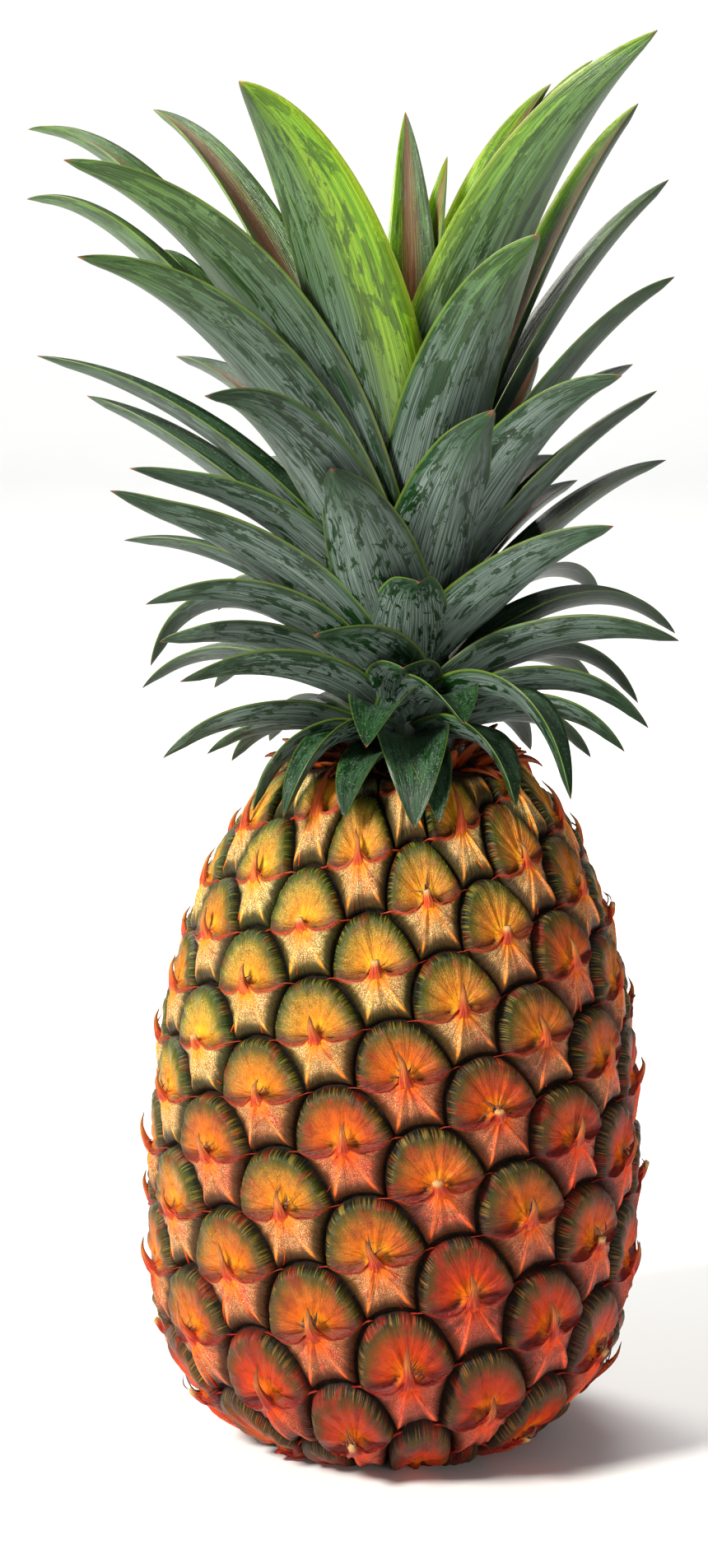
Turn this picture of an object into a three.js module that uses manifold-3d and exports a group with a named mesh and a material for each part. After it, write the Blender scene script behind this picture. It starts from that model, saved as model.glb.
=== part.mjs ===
// A whole pineapple that stands on its flat cut base. The fruit is one grown body with its spiral of
// eyes, the stub of the stalk sits in its underside, and the crown of leaves grows out of its top.
// Millimetres, +Z up, the front is -Y. The origin is the centre of the stalk's cut face.
import * as THREE from "three";
import { mergeVertices } from "three/addons/utils/BufferGeometryUtils.js";
import Module from "manifold-3d";

const wasm = await Module();
wasm.setup();

// The fruit's outline: a rounded barrel, widest below its middle, with sloping shoulders.
const outline = {
  radius: 61.9, // at the widest ring, between the raised eyes
  widestAt: 66,
  lowest: -2, // a little of the underside is cut away to make the flat base
  highest: 180.5, // the crown hides the level top
  lowerReach: 70,
  upperReach: 124,
  lowerPower: 3.2,
  upperPower: 2.4,
};
const axisLean = 0.02; // the whole fruit leans a little to the right as it rises

// The eyes are set so that 7 spirals cross 12. Low eyes are larger than high ones.
const eyes = {
  turn: 208.844, // degrees from one eye to the next, clockwise seen from above
  firstTurn: 188,
  baseArea: 733, // surface of one eye at the base, in mm2
  areaFall: 1.92, // mm2 less for each mm of height
  shallow: 7,
  steep: 12,
};

// A typical eye as [right, up, out] in mm, from where its beak grows. out is the height above the
// fruit's outline. Each eye is this one, scaled and slanted to fit its place on the spirals.
const typicalEye = {
  area: 579,
  shallowStep: [-23.8, 10.3], // to the eye 7 further up
  steepStep: [15.1, 17.8], // to the eye 12 further up
  groove: -2.2,
  bulge: 1.12, // each cap pushes this far into the eye above it, as a share of the half-way point
  ring: [
    [10.6, 2, 2],
    [7, 8.3, 1.3],
    [1.8, 12.6, 1],
    [-4, 13, 1],
    [-9, 10.8, 0.9],
    [-10.8, 4.7, 1.4],
    [-10.6, -2, 2],
    [-5.3, -6.4, 1.3],
    [-1.6, -11.8, 0.9],
    [3.1, -10.2, 0.9],
    [8.4, -9.8, 0.6],
    [8.5, -3.6, 1.3],
  ],
  cap: [[3.8, 6.8, 2.3], [-1, 9, 2.4], [-5.8, 6.2, 2.2]],
  hollow: [[5.6, 3.2, 0.9], [0, 1.9, 1.4], [-5.4, 1.3, 0.9]],
  rim: [[5.6, 1.1, 2.7], [1.7, 0.3, 3], [-1.7, -0.3, 3], [-5.6, -1.1, 2.7]],
  bract: [[-2.6, -4.9, 2.3], [3.6, -5.1, 2.3]],
  beakFoot: [0, -2.2, 2.9],
  beakTip: [0.3, 4.8, 5],
  bluntTip: [0, 0.6, 3.1],
};

const spare = 180; // how far the outline is carried on past its ends
const nearLevel = 0.45; // a point this near the flat base or top is put on it, so no sliver is cut
const highestBeak = 168; // above this the beaks are blunt, under the leaves

const stalk = { radius: 12.5, rim: 0.6, height: 13, sides: 24 };
const gap = 0.32; // between the fruit and what sits in it
const crownFoot = { height: 176, radius: 13.2, sides: 18 };

// The crown's short stem, as [radius, height] from its foot to its tip.
const stemOutline = [
  [0, crownFoot.height],
  [12.2, crownFoot.height],
  [crownFoot.radius, 180],
  [crownFoot.radius, 188],
  [11.5, 204],
  [9, 222],
  [6.5, 240],
  [4, 256],
  [0, 264],
];

const leafForm = {
  rootDepth: 0.45, // share of the stem's radius where a leaf begins
  fullness: 0.85,
  swell: 1.5,
  widest: 1.09,
  channelRoot: 0.3, // rise of the edges over the midrib, as a share of the half-width
  channelTip: 0.55,
  thickRoot: 2.0,
  thickTip: 1.1,
  neck: 0.6, // share of its width that a blade keeps where it clasps the stem
  neckEnd: 0.28,
  stepLength: 17, // mm of blade for each step of the mesh
  fewestSteps: 5,
  mostSteps: 9,
};

// Leaves from the lowest ring to the heart. turn is the compass direction in degrees, 0 to the
// right and -90 to the front. root is a height on the stem. middle and tip are [out, height], with
// out measured from the stem's axis. width is at the blade's widest. Heights are from the origin.
const leaves = [
  // lowest ring, hanging over the shoulder
  { turn: -87, root: 186, middle: [29, 188], tip: [45, 171], width: 20 },
  { turn: -130, root: 186, middle: [30, 189], tip: [47, 172], width: 15 },
  { turn: -150, root: 185, middle: [30, 187], tip: [44, 171], width: 13 },
  { turn: -110, root: 184, middle: [30, 184], tip: [44, 173], width: 13 },
  { turn: -79, root: 184, middle: [29, 184], tip: [44, 172], width: 13 },
  { turn: -54, root: 187, middle: [33, 190], tip: [47, 175], width: 14 },
  { turn: -47, root: 192, middle: [40, 201], tip: [60, 178], width: 17 },
  { turn: -163, root: 187, middle: [39, 193], tip: [64, 184], width: 12 },
  { turn: 175, root: 187, middle: [32, 189], tip: [51, 181], width: 11 },
  { turn: -15, root: 188, middle: [36, 195], tip: [58, 185], width: 12 },
  { turn: 18, root: 186, middle: [33, 190], tip: [52, 178], width: 13 },
  { turn: 48, root: 186, middle: [32, 190], tip: [52, 176], width: 15 },
  { turn: 76, root: 187, middle: [33, 191], tip: [54, 177], width: 16 },
  { turn: 104, root: 186, middle: [31, 189], tip: [50, 174], width: 15 },
  { turn: 131, root: 187, middle: [33, 191], tip: [54, 178], width: 15 },
  { turn: 154, root: 186, middle: [32, 188], tip: [50, 176], width: 13 },
  // second ring, arching out level
  { turn: -128, root: 194, middle: [19, 208], tip: [42, 217], width: 21 },
  { turn: -149, root: 192, middle: [35, 206], tip: [66, 206], width: 16 },
  { turn: 165, root: 191, middle: [43, 206], tip: [71, 196], width: 13 },
  { turn: -8, root: 191, middle: [38, 201], tip: [63, 190], width: 13 },
  { turn: 6, root: 193, middle: [38, 208], tip: [61, 194], width: 15 },
  { turn: 36, root: 192, middle: [37, 204], tip: [64, 192], width: 16 },
  { turn: 62, root: 193, middle: [38, 206], tip: [66, 196], width: 17 },
  { turn: 91, root: 192, middle: [36, 205], tip: [63, 193], width: 17 },
  { turn: 119, root: 193, middle: [38, 207], tip: [66, 197], width: 17 },
  { turn: 143, root: 192, middle: [37, 204], tip: [63, 193], width: 16 },
  // third ring
  { turn: -88, root: 197, middle: [17, 219], tip: [34, 233], width: 22 },
  { turn: -160, root: 199, middle: [38, 222], tip: [70, 224], width: 15 },
  { turn: 160, root: 197, middle: [46, 219], tip: [71, 201], width: 17 },
  { turn: -171, root: 197, middle: [38, 212], tip: [63, 211], width: 14 },
  { turn: -15, root: 197, middle: [39, 213], tip: [71, 214], width: 16 },
  { turn: 12, root: 198, middle: [43, 220], tip: [72, 211], width: 16 },
  { turn: 44, root: 199, middle: [42, 223], tip: [73, 217], width: 18 },
  { turn: 74, root: 198, middle: [40, 221], tip: [72, 214], width: 19 },
  { turn: 107, root: 199, middle: [41, 224], tip: [74, 219], width: 19 },
  { turn: 134, root: 198, middle: [43, 220], tip: [72, 212], width: 18 },
  // fourth ring, rising at about 45 degrees
  { turn: -35, root: 203, middle: [31, 228], tip: [61, 245], width: 20 },
  { turn: -160, root: 204, middle: [41, 234], tip: [80, 251], width: 18 },
  { turn: 172, root: 203, middle: [41, 229], tip: [74, 236], width: 13 },
  { turn: -165, root: 208, middle: [35, 242], tip: [73, 256], width: 16 },
  { turn: 15, root: 205, middle: [40, 240], tip: [69, 256], width: 14 },
  { turn: 55, root: 206, middle: [42, 241], tip: [77, 252], width: 20 },
  { turn: 88, root: 207, middle: [39, 243], tip: [76, 256], width: 21 },
  { turn: 122, root: 206, middle: [42, 241], tip: [79, 251], width: 20 },
  { turn: 38, root: 208, middle: [29, 234], tip: [57, 249], width: 16 },
  { turn: 50, root: 212, middle: [32, 252], tip: [53, 281], width: 17 },
  // broad front leaves that stand up close to the stem
  { turn: -66, root: 209, middle: [21, 245], tip: [43, 274], width: 26 },
  { turn: -112, root: 209, middle: [25, 240], tip: [44, 265], width: 25 },
  { turn: -125, root: 214, middle: [46, 262], tip: [87, 280], width: 21 },
  { turn: -35, root: 213, middle: [31, 259], tip: [62, 282], width: 21 },
  { turn: 5, root: 214, middle: [33, 250], tip: [63, 275], width: 17 },
  { turn: 35, root: 215, middle: [36, 256], tip: [72, 279], width: 20 },
  { turn: 70, root: 216, middle: [38, 262], tip: [82, 284], width: 23 },
  { turn: 103, root: 215, middle: [39, 261], tip: [83, 282], width: 23 },
  { turn: 138, root: 216, middle: [42, 261], tip: [84, 280], width: 20 },
  // long leaves
  { turn: 170, root: 218, middle: [50, 262], tip: [98, 283], width: 16 },
  { turn: 163, root: 215, middle: [50, 252], tip: [88, 272], width: 16 },
  { turn: -155, root: 222, middle: [45, 283], tip: [91, 311], width: 23 },
  { turn: 172, root: 222, middle: [60, 300], tip: [100, 323], width: 18 },
  { turn: 2, root: 220, middle: [36, 275], tip: [66, 304], width: 18 },
  { turn: -60, root: 222, middle: [24, 280], tip: [58, 317], width: 26 },
  { turn: -160, root: 229, middle: [45, 300], tip: [92, 334], width: 25 },
  { turn: 155, root: 228, middle: [66, 314], tip: [112, 340], width: 17 },
  { turn: -35, root: 228, middle: [23, 307], tip: [67, 365], width: 30 },
  { turn: 12, root: 228, middle: [35, 290], tip: [66, 328], width: 19 },
  { turn: 25, root: 231, middle: [37, 306], tip: [63, 347], width: 17 },
  { turn: 80, root: 226, middle: [34, 282], tip: [82, 309], width: 23 },
  { turn: 112, root: 229, middle: [38, 285], tip: [88, 312], width: 23 },
  { turn: -133, root: 236, middle: [31, 311], tip: [64, 353], width: 29 },
  { turn: 135, root: 236, middle: [56, 312], tip: [99, 345], width: 18 },
  { turn: 150, root: 222, middle: [52, 286], tip: [76, 309], width: 14 },
  // heart
  { turn: 35, root: 238, middle: [16, 309], tip: [42, 352], width: 19 },
  { turn: 30, root: 241, middle: [22, 316], tip: [52, 358], width: 13 },
  { turn: 100, root: 242, middle: [6, 298], tip: [17, 345], width: 16 },
  { turn: 60, root: 244, middle: [6, 292], tip: [16, 334], width: 12 },
  { turn: 55, root: 246, middle: [10, 285], tip: [24, 320], width: 10 },
  { turn: -30, root: 246, middle: [5, 272], tip: [13, 298], width: 9 },
];

const radians = THREE.MathUtils.degToRad;
const up = new THREE.Vector3(0, 0, 1);

function levelOf(height) {
  return THREE.MathUtils.clamp(height, outline.lowest, outline.highest);
}

function outlineRadius(height) {
  const level = levelOf(height);
  const above = level > outline.widestAt;
  const reach = above ? outline.upperReach : outline.lowerReach;
  const power = above ? outline.upperPower : outline.lowerPower;
  const share = Math.abs(level - outline.widestAt) / reach;
  return outline.radius * Math.sqrt(1 - share ** power);
}

function eyeArea(height) {
  return eyes.baseArea - eyes.areaFall * levelOf(height);
}

// Rings up the outline, each with its height, radius and count of eyes so far. They run on straight
// past both ends, so that the eyes that the flat base and top cut through have their full shape.
function measureOutline() {
  const rise = 0.25;
  const rings = [];
  let number = 0;
  for (let height = outline.lowest - spare; height <= outline.highest + spare; height += rise) {
    const ring = { height, radius: outlineRadius(height) };
    if (rings.length > 0) {
      const last = rings[rings.length - 1];
      const step = Math.hypot(rise, ring.radius - last.radius);
      number += (Math.PI * (ring.radius + last.radius) * step) / eyeArea(height);
    }
    rings.push({ ...ring, number });
  }
  const before = rings.find((ring) => ring.height >= outline.lowest).number;
  for (const ring of rings) ring.number -= before;
  return rings;
}

const rings = measureOutline();
const eyeCount = rings.find((ring) => ring.height >= outline.highest).number;

// The ring that holds eye number n, between two measured rings. n may be a fraction.
function ringAt(n) {
  let low = 0;
  let high = rings.length - 1;
  while (high - low > 1) {
    const mid = (low + high) >> 1;
    if (rings[mid].number > n) high = mid;
    else low = mid;
  }
  const a = rings[low];
  const b = rings[high];
  const share = (n - a.number) / (b.number - a.number);
  const mix = (key) => a[key] + (b[key] - a[key]) * share;
  const slope = Math.atan2(a.radius - b.radius, b.height - a.height);
  return { height: mix("height"), radius: mix("radius"), slope };
}

function wrap(angle) {
  return Math.atan2(Math.sin(angle), Math.cos(angle));
}

function pointOnSkin(azimuth, ring, outward) {
  const radius = ring.radius + outward * Math.cos(ring.slope);
  const height = ring.height + outward * Math.sin(ring.slope);
  return [radius * Math.cos(azimuth), radius * Math.sin(azimuth), height];
}

function settle([x, y, z]) {
  const level = [0, outline.highest].find((height) => Math.abs(height - z) < nearLevel);
  return [x, y, level ?? z];
}

// A closed mesh with its shared points merged, as a solid.
function solidOf(geometry) {
  const bare = geometry.clone();
  bare.deleteAttribute("normal");
  bare.deleteAttribute("uv");
  const merged = mergeVertices(bare, 1e-4);
  return new wasm.Manifold(
    new wasm.Mesh({
      numProp: 3,
      vertProperties: merged.attributes.position.array,
      triVerts: new Uint32Array(merged.index.array),
    }),
  );
}

function geometryOf(points, faces) {
  const geometry = new THREE.BufferGeometry();
  geometry.setAttribute("position", new THREE.Float32BufferAttribute(points.flat(), 3));
  geometry.setIndex(faces.flat());
  return geometry;
}

function meshOf(name, solid, color, roughness) {
  const { vertProperties, triVerts } = solid.getMesh();
  const geometry = new THREE.BufferGeometry();
  geometry.setAttribute("position", new THREE.BufferAttribute(vertProperties, 3));
  geometry.setIndex(new THREE.BufferAttribute(triVerts, 1));
  geometry.computeVertexNormals();
  const material = new THREE.MeshStandardMaterial({ color, roughness, metalness: 0 });
  const mesh = new THREE.Mesh(geometry, material);
  mesh.name = name;
  return mesh;
}

// The whole fruit leans by moving each level sideways, so its base stays flat.
const leanMatrix = new THREE.Matrix4().makeShear(0, 0, 0, 0, axisLean, 0);
function leanOver(point) {
  return [point[0] + axisLean * point[2], point[1], point[2]];
}

// The share of the shallow and the steep step that leads to a point of the typical eye.
function sharesOf([right, up]) {
  const [a, b] = [typicalEye.shallowStep, typicalEye.steepStep];
  const area = a[0] * b[1] - a[1] * b[0];
  return [(right * b[1] - up * b[0]) / area, (up * a[0] - right * a[1]) / area];
}

// The border of an eye's cell from its right corner round by the cap, in shares of the two steps.
// A corner is the middle of three eyes. Between the corners the border bends up over the cap.
function cellBorder() {
  const third = 1 / 3;
  const high = typicalEye.bulge / 2;
  const low = high - 1;
  return [
    [-third, third], [0, high], [third, 2 * third], [high, high], [2 * third, third], [high, 0],
    [third, -third], [0, low], [-third, -2 * third], [low, low], [-2 * third, -third], [low, 0],
  ];
}

// Triangles between two rows of points that run the same way. Points that the rows share are skipped.
function fillBetween(outer, inner, faces) {
  let i = 0;
  let j = 0;
  while (i < outer.length - 1 || j < inner.length - 1) {
    const outerNext = (i + 1) / (outer.length - 1);
    const innerNext = (j + 1) / (inner.length - 1);
    const along = outerNext <= innerNext;
    const face = along ? [outer[i], outer[i + 1], inner[j]] : [outer[i], inner[j + 1], inner[j]];
    if (new Set(face).size === 3) faces.push(face);
    if (along) i++;
    else j++;
  }
}

// The skin is made of one cell for each eye. Neighbours share the points on their border, and each of
// those points is known by its own number along the spiral.
function makeSkin() {
  const { shallow, steep } = eyes;
  const shallowTurn = wrap(radians(shallow * eyes.turn));
  const steepTurn = wrap(radians(steep * eyes.turn));
  const border = cellBorder();
  const reach = Math.max(...border.map(([a, b]) => shallow * a + steep * b));
  const points = [];
  const faces = [];
  const known = new Map();
  const add = (eye, [a, b], out) => {
    const ring = ringAt(eye + shallow * a + steep * b);
    const azimuth = radians(eyes.firstTurn - eye * eyes.turn) - a * shallowTurn - b * steepTurn;
    const scale = Math.sqrt(eyeArea(ring.height) / typicalEye.area);
    return points.push(settle(leanOver(pointOnSkin(azimuth, ring, out * scale)))) - 1;
  };
  const addShared = (eye, [a, b]) => {
    const key = (eye + shallow * a + steep * b).toFixed(3);
    if (!known.has(key)) known.set(key, add(eye, [a, b], typicalEye.groove));
    return known.get(key);
  };
  for (let eye = -Math.ceil(reach); eye <= eyeCount + reach; eye++) {
    const place = (point) => add(eye, sharesOf(point), point[2]);
    const tip = ringAt(eye).height < highestBeak ? typicalEye.beakTip : typicalEye.bluntTip;
    addEye({
      border: border.map((shares) => addShared(eye, shares)),
      ring: typicalEye.ring.map(place),
      cap: typicalEye.cap.map(place),
      hollow: typicalEye.hollow.map(place),
      rim: typicalEye.rim.map(place),
      bract: typicalEye.bract.map(place),
      foot: place(typicalEye.beakFoot),
      tip: place(tip),
    }, faces);
  }
  closeEnds(points, faces);
  return solidOf(geometryOf(points, faces));
}

// The faces of one eye: its border, the cap above the rim, the step behind the rim, the beak, and
// the bract below the rim.
function addEye({ border, ring, cap, hollow, rim, bract, foot, tip }, faces) {
  const right = ring[0];
  const left = ring[6];
  fillBetween([...border, border[0]], [...ring, right], faces);
  fillBetween(ring.slice(0, 7), cap, faces);
  fillBetween(cap, [right, ...hollow, left], faces);
  fillBetween([right, hollow[0], hollow[1]], [right, rim[0], rim[1]], faces);
  fillBetween([hollow[1], hollow[2], left], [rim[2], rim[3], left], faces);
  faces.push([rim[1], hollow[1], tip], [hollow[1], rim[2], tip], [rim[2], foot, tip], [foot, rim[1], tip]);
  fillBetween([...ring.slice(6), right], bract, faces);
  fillBetween(bract, [left, rim[3], rim[2], foot, rim[1], rim[0], right], faces);
}

// Joins each open end of the net to one point on the fruit's axis.
function closeEnds(points, faces) {
  const key = (a, b) => a + "," + b;
  const used = new Set(faces.flatMap(([a, b, c]) => [key(a, b), key(b, c), key(c, a)]));
  const middle = (outline.lowest + outline.highest) / 2;
  const foot = points.push(leanOver([0, 0, outline.lowest - spare])) - 1;
  const head = points.push(leanOver([0, 0, outline.highest + spare])) - 1;
  for (const edge of used) {
    const [a, b] = edge.split(",").map(Number);
    if (!used.has(key(b, a))) faces.push([b, a, points[a][2] < middle ? foot : head]);
  }
}

function facingOut(solid, geometry) {
  if (solid.volume() > 0) return solid;
  const index = geometry.index.array;
  for (let i = 0; i < index.length; i += 3) [index[i], index[i + 1]] = [index[i + 1], index[i]];
  return solidOf(geometry);
}

function uprightCylinder(radius, low, high, sides) {
  const geometry = new THREE.CylinderGeometry(radius, radius, high - low, sides);
  geometry.rotateX(Math.PI / 2).translate(0, 0, (low + high) / 2);
  return geometry;
}

function makeFruit() {
  const room = new THREE.BoxGeometry(200, 200, outline.highest);
  room.translate(0, 0, outline.highest / 2);
  const fruit = makeSkin().intersect(solidOf(room));
  const stalkHole = uprightCylinder(stalk.radius + gap, -5, stalk.height + gap, stalk.sides);
  const seat = uprightCylinder(crownFoot.radius + gap, crownFoot.height - gap, 200, crownFoot.sides);
  seat.applyMatrix4(leanMatrix);
  return fruit.subtract(solidOf(stalkHole)).subtract(solidOf(seat));
}

function makeStalk() {
  const { radius, rim, height, sides } = stalk;
  const profile = [[0, 0], [radius - rim, 0], [radius, rim], [radius, height], [0, height]];
  const geometry = new THREE.LatheGeometry(profile.map((p) => new THREE.Vector2(...p)), sides);
  geometry.rotateX(Math.PI / 2);
  return facingOut(solidOf(geometry), geometry);
}

function stemRadius(height) {
  for (let i = 1; i < stemOutline.length - 1; i++) {
    const [r0, h0] = stemOutline[i];
    const [r1, h1] = stemOutline[i + 1];
    if (height <= h1) return r0 + ((r1 - r0) * (height - h0)) / (h1 - h0);
  }
  return 0;
}

// The blade is a tapering channel with a keel. Its midrib is an arc through the leaf's root, middle
// and tip, in the upright plane of its compass direction.
function makeLeaf(leaf) {
  const { turn, root, middle, tip, width } = leaf;
  const azimuth = radians(turn);
  const out = new THREE.Vector3(Math.cos(azimuth), Math.sin(azimuth), 0);
  const side = new THREE.Vector3(-Math.sin(azimuth), Math.cos(azimuth), 0);
  const start = new THREE.Vector2(stemRadius(root) * leafForm.rootDepth, root);
  const end = new THREE.Vector2(...tip);
  const ends = start.clone().add(end).multiplyScalar(0.5);
  const bend = new THREE.Vector2(...middle).multiplyScalar(2).sub(ends);
  const midrib = new THREE.QuadraticBezierCurve(start, bend, end);
  const wanted = Math.round(midrib.getLength() / leafForm.stepLength);
  const steps = Math.min(leafForm.mostSteps, Math.max(leafForm.fewestSteps, wanted));
  const points = [];
  const faces = [];
  for (let i = 0; i < steps; i++) {
    const t = i / steps;
    const at = midrib.getPoint(t);
    const direction = midrib.getTangent(t);
    const inward = out.clone().multiplyScalar(-direction.y).addScaledVector(up, direction.x);
    const centre = out.clone().multiplyScalar(at.x).addScaledVector(up, at.y);
    const half = (width / 2) * bladeShare(t);
    const channel = half * THREE.MathUtils.lerp(leafForm.channelRoot, leafForm.channelTip, t);
    const thick = THREE.MathUtils.lerp(leafForm.thickRoot, leafForm.thickTip, t);
    const place = (across, lift) => {
      const p = centre.clone().addScaledVector(side, across).addScaledVector(inward, lift);
      return leanOver(p.toArray());
    };
    points.push(place(-half, channel), place(0, 0), place(half, channel), place(0, -thick));
    if (i === 0) continue;
    const [a, b] = [4 * (i - 1), 4 * i];
    for (let k = 0; k < 4; k++) {
      const next = (k + 1) % 4;
      faces.push([a + k, b + k, a + next], [a + next, b + k, b + next]);
    }
  }
  const last = 4 * (steps - 1);
  const point = out.clone().multiplyScalar(end.x).addScaledVector(up, end.y);
  const apex = points.push(leanOver(point.toArray())) - 1;
  for (let k = 0; k < 4; k++) faces.push([last + k, apex, last + ((k + 1) % 4)]);
  faces.push([0, 1, 2], [0, 2, 3]);
  const geometry = geometryOf(points, faces);
  return facingOut(solidOf(geometry), geometry);
}

// The blade's width along its length, 1 at its widest and 0 at the tip.
function bladeShare(t) {
  const neck = THREE.MathUtils.lerp(leafForm.neck, 1, Math.min(1, t / leafForm.neckEnd));
  return (neck * (1 - t) ** leafForm.fullness * (1 + leafForm.swell * t)) / leafForm.widest;
}

function makeCrown() {
  const stem = new THREE.LatheGeometry(stemOutline.map((p) => new THREE.Vector2(...p)), crownFoot.sides);
  stem.rotateX(Math.PI / 2);
  stem.applyMatrix4(leanMatrix);
  const solids = leaves.map(makeLeaf);
  return outerBody(wasm.Manifold.union([facingOut(solidOf(stem), stem), ...solids]));
}

// Fills the hollows that crossing blades seal off, by keeping only the largest outer surface.
function outerBody(solid) {
  const bodies = solid.decompose().sort((a, b) => b.volume() - a.volume());
  return bodies[0];
}

const pineapple = new THREE.Group();
pineapple.add(meshOf("fruit_body", makeFruit(), 0xc4702c, 0.55));
pineapple.add(meshOf("crown", makeCrown(), 0x4c6b4f, 0.5));
pineapple.add(meshOf("cut_stem", makeStalk(), 0xc9ad74, 0.85));

export default pineapple;
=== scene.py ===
import math

import bmesh
import bpy
import numpy as np
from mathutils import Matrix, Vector


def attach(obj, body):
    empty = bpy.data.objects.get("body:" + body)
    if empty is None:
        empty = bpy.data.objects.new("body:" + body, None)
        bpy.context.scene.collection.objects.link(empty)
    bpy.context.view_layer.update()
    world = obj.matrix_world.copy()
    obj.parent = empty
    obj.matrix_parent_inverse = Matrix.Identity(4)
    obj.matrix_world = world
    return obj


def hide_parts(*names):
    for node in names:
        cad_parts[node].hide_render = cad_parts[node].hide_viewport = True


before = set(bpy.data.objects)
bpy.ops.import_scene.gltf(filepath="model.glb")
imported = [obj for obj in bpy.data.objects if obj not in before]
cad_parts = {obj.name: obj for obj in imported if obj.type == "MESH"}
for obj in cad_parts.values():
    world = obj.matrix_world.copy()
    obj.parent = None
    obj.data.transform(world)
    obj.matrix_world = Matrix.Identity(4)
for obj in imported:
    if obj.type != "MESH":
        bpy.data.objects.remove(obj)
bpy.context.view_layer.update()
mm = 0.001
rng = np.random.default_rng(41)
clearOfBase = 0.3  # mm over the base that the small pieces stay
print("frame loaded:", sorted(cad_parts))


# small helpers

def tint(color):
    # a display colour, 0 to 255, as the linear value that nodes take
    def linear(c):
        c /= 255
        return c / 12.92 if c <= 0.04045 else ((c + 0.055) / 1.055) ** 2.4
    return tuple(map(linear, color)) + (1.0,)


def draw(span):
    return rng.uniform(*span)


def smooth(low, high, x):
    t = np.clip((x - low) / (high - low), 0, 1)
    return t * t * (3 - 2 * t)


def spread(shape, *values):
    # values given along rows, round rings or alone, filled out to one shape
    return np.stack([np.broadcast_to(value, shape) for value in values], -1)


def shadeSmooth(mesh):
    mesh.polygons.foreach_set("use_smooth", [True] * len(mesh.polygons))


def tellTriangles(piece):
    print(piece.name + ":", sum(len(p.vertices) - 2 for p in piece.data.polygons), "triangles")


def addObject(name, data):
    thing = bpy.data.objects.new(name, data)
    bpy.context.scene.collection.objects.link(thing)
    return thing


def addMesh(name, points, faces, replaced, material):
    mesh = bpy.data.meshes.new(name)
    mesh.from_pydata((np.asarray(points) * mm).tolist(), [], [list(map(int, f)) for f in faces])
    mesh.validate()
    piece = addObject(name, mesh)
    shadeSmooth(mesh)
    mesh.materials.append(material)
    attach(piece, "root")
    if replaced:
        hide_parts(replaced)
    return piece


def addAttribute(mesh, name, values, domain="POINT"):
    values = np.asarray(values, np.float32)
    kind, key = ("FLOAT_VECTOR", "vector") if values.ndim == 2 else ("FLOAT", "value")
    layer = mesh.attributes.new(name, kind, domain)
    layer.data.foreach_set(key, values.ravel())


class TubeSet:
    # closed tubes in one mesh, each given as rows of points round its path
    def __init__(self):
        self.points, self.faces, self.frames, self.traits = [], [], [], []
        self.count = 0

    def add(self, rows, frameRows, traits):
        levels, sides = rows.shape[:2]
        k = np.arange(sides)
        for i in range(levels - 1):
            a, c = self.count + i * sides, self.count + (i + 1) * sides
            quads = np.stack([a + k, a + (k + 1) % sides, c + (k + 1) % sides, c + k], -1)
            self.faces += quads.tolist()
        self.faces.append((self.count + k[::-1]).tolist())
        self.faces.append((self.count + (levels - 1) * sides + k).tolist())
        self.points.append(rows.reshape(-1, 3))
        self.frames.append(frameRows.reshape(-1, 3))
        self.traits.append(np.tile(np.asarray(traits, float), (levels * sides, 1)))
        self.count += levels * sides

    def addShown(self, rows, frameRows, traits):
        rows, frameRows = onShow(rows, frameRows)
        if len(rows) > 2:
            self.add(rows, frameRows, traits)

    def build(self, name, slot, replaced, material):
        piece = addMesh(name, np.concatenate(self.points), self.faces, replaced, material)
        addAttribute(piece.data, "along", np.concatenate(self.frames))
        addAttribute(piece.data, "traits", np.concatenate(self.traits))
        faceOut(piece.data)
        tellTriangles(piece)


def faceOut(data):
    mesh = bmesh.new()
    mesh.from_mesh(data)
    bmesh.ops.recalc_face_normals(mesh, faces=mesh.faces)
    mesh.to_mesh(data)
    mesh.free()


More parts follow.
